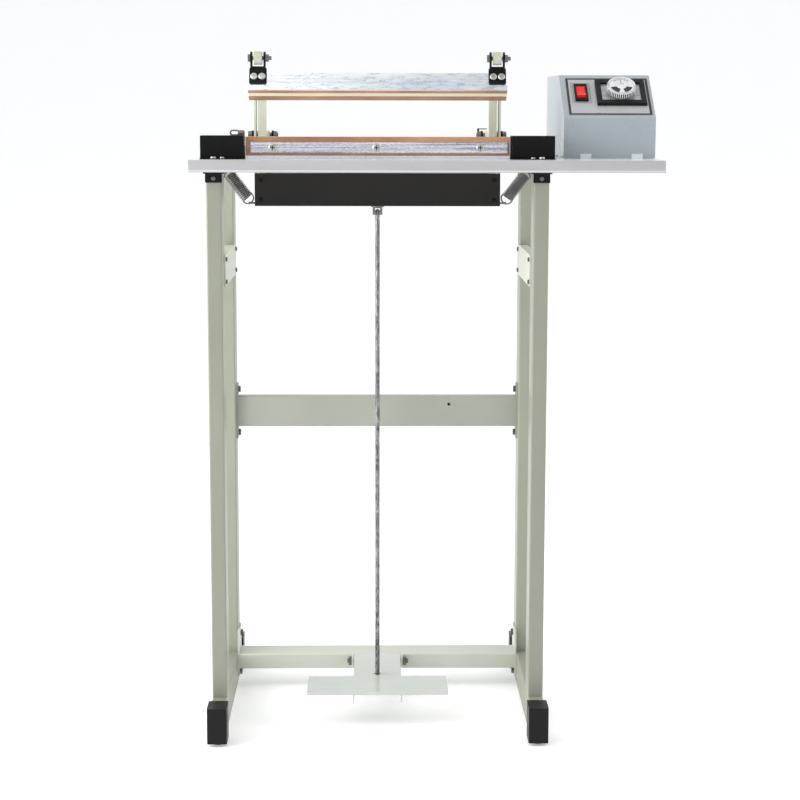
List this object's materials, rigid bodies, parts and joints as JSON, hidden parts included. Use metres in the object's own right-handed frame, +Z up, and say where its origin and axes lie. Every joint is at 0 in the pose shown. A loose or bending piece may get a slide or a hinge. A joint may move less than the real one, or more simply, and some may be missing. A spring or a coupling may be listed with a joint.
{
  "type": "impulse heat sealer",
  "caption": "Foot-pedal impulse heat sealer: a sprung jaw on a tall stand closes on a table when the pedal pulls its rod, beside a timer control box.",
  "frame": {"origin": "on the floor, under the centre of the whole machine's bounding box", "axes": "+Z up, +Y away from the operator, +X to the operator's right, towards the control box"},
  "size_m": [0.7, 0.44, 1.0389],
  "materials": {
    "laminate": "white laminate on particle board",
    "edge_band": "satin grey",
    "leg_paint": "satin sage-cream powder coat",
    "brace_paint": "satin cream powder coat",
    "black_plastic": "black, moulded",
    "zinc_steel": "zinc plated",
    "jaw_aluminium": "extruded, anodised",
    "ptfe_tape": "PTFE-coated glass cloth",
    "nichrome": "rolled ribbon",
    "phenolic": "brown phenolic",
    "bright_steel": "bright",
    "black_paint": "satin black",
    "silicone": "cream silicone",
    "arm_paint": "satin cream powder coat",
    "spring_steel": "dark spring wire",
    "nylon": "ivory nylon",
    "rod_steel": "mottled plated rod",
    "pedal_paint": "pale grey powder coat",
    "box_paint": "blue-grey powder coat",
    "faceplate": "printed foil, grey with a black border",
    "clear_plastic": "clear acrylic",
    "silver_plastic": "spun silver",
    "red_plastic": "translucent red",
    "transformer_iron": "laminated iron with a taped winding"
  },
  "bodies": {
    "frame": {"tabletop": "laminate", "table_edge_band": "edge_band", "left_front_leg": "leg_paint", "right_front_leg": "leg_paint", "left_rear_leg": "leg_paint", "right_rear_leg": "leg_paint", "bottom_rails": "leg_paint", "rail_end_caps": "black_plastic", "side_braces": "brace_paint", "mid_cross_bar": "brace_paint", "lower_cross_rail": "brace_paint", "frame_bolts": "zinc_steel", "leg_top_brackets": "black_paint", "lower_jaw_bar": "jaw_aluminium", "lower_tape": "ptfe_tape", "clamp_strip": "jaw_aluminium", "clamp_screws": "zinc_steel", "heating_ribbon": "nichrome", "terminal_blocks": "phenolic", "ribbon_tensioner": "bright_steel", "left_end_cover": "black_paint", "right_end_cover": "black_paint", "table_screws": "zinc_steel", "pivot_brackets": "black_paint", "pivot_pins": "zinc_steel", "microswitch": "black_plastic", "spring_anchors": "zinc_steel", "pedal_hinge_pin": "zinc_steel", "control_box_cover": "box_paint", "control_box_base": "box_paint", "control_faceplate": "faceplate", "rocker_housing": "black_plastic", "timer_bezel": "black_plastic", "timer_dial_plate": "faceplate", "timer_unit": "black_plastic", "transformer": "transformer_iron", "mains_gland": "black_plastic"},
    "swing_frame": {"upper_jaw_bar": "jaw_aluminium", "silicone_strip": "silicone", "upper_tape": "ptfe_tape", "left_swing_arm": "arm_paint", "right_swing_arm": "arm_paint", "yoke_channel": "black_paint", "yoke_screws": "zinc_steel", "spring_hooks": "zinc_steel", "left_return_spring": "spring_steel", "right_return_spring": "spring_steel", "roller_brackets": "black_paint", "roller_bracket_screws": "zinc_steel", "roller_axles": "zinc_steel", "rod_clevis": "zinc_steel"},
    "left_roller": {"left_roller": "nylon"},
    "right_roller": {"right_roller": "nylon"},
    "pull_rod": {"pull_rod": "rod_steel", "pull_rod_nuts": "zinc_steel"},
    "pedal": {"pedal_arm": "pedal_paint", "pedal_plate": "pedal_paint"},
    "timer_knob": {"timer_knob": "clear_plastic", "knob_insert": "silver_plastic"},
    "rocker": {"rocker_button": "red_plastic"}
  },
  "joints": [
    {"name": "jaw_swing", "type": "hinge", "parent": "frame", "child": "swing_frame", "pos_m": [-0.0725, 0.033, 0.913], "axis": [1, 0, 0], "range_deg": [0, 26], "stiffness_Nm_per_rad": 6, "springref_deg": -42.97, "deforming": ["left_return_spring", "right_return_spring"]},
    {"name": "rod_swing", "type": "hinge", "parent": "swing_frame", "child": "pull_rod", "pos_m": [-0.0725, -0.034, 0.7975], "axis": [1, 0, 0], "range_deg": [-31, 1]},
    {"name": "pedal_tread", "type": "hinge", "parent": "frame", "child": "pedal", "pos_m": [-0.0725, 0.072, 0.05], "axis": [1, 0, 0], "range_deg": [-0.5, 9.5]},
    {"name": "left_roller_spin", "type": "hinge", "parent": "swing_frame", "child": "left_roller", "pos_m": [-0.2515, -0.09292, 1.02893], "axis": [1, 0, 0], "continuous": true},
    {"name": "right_roller_spin", "type": "hinge", "parent": "swing_frame", "child": "right_roller", "pos_m": [0.1065, -0.09292, 1.02893], "axis": [1, 0, 0], "continuous": true},
    {"name": "timer_turn", "type": "hinge", "parent": "frame", "child": "timer_knob", "pos_m": [0.3, -0.03947, 0.98241], "axis": [0, 0.5898, -0.8076], "range_deg": [0, 270]},
    {"name": "rocker_tilt", "type": "hinge", "parent": "frame", "child": "rocker", "pos_m": [0.239, -0.0364, 0.97821], "axis": [1, 0, 0], "range_deg": [0, 20]}
  ],
  "couplings": [
    {"joint": "rod_swing", "follows": "jaw_swing", "ratio": -1.1721},
    {"joint": "pedal_tread", "follows": "jaw_swing", "ratio": 0.32}
  ]
}
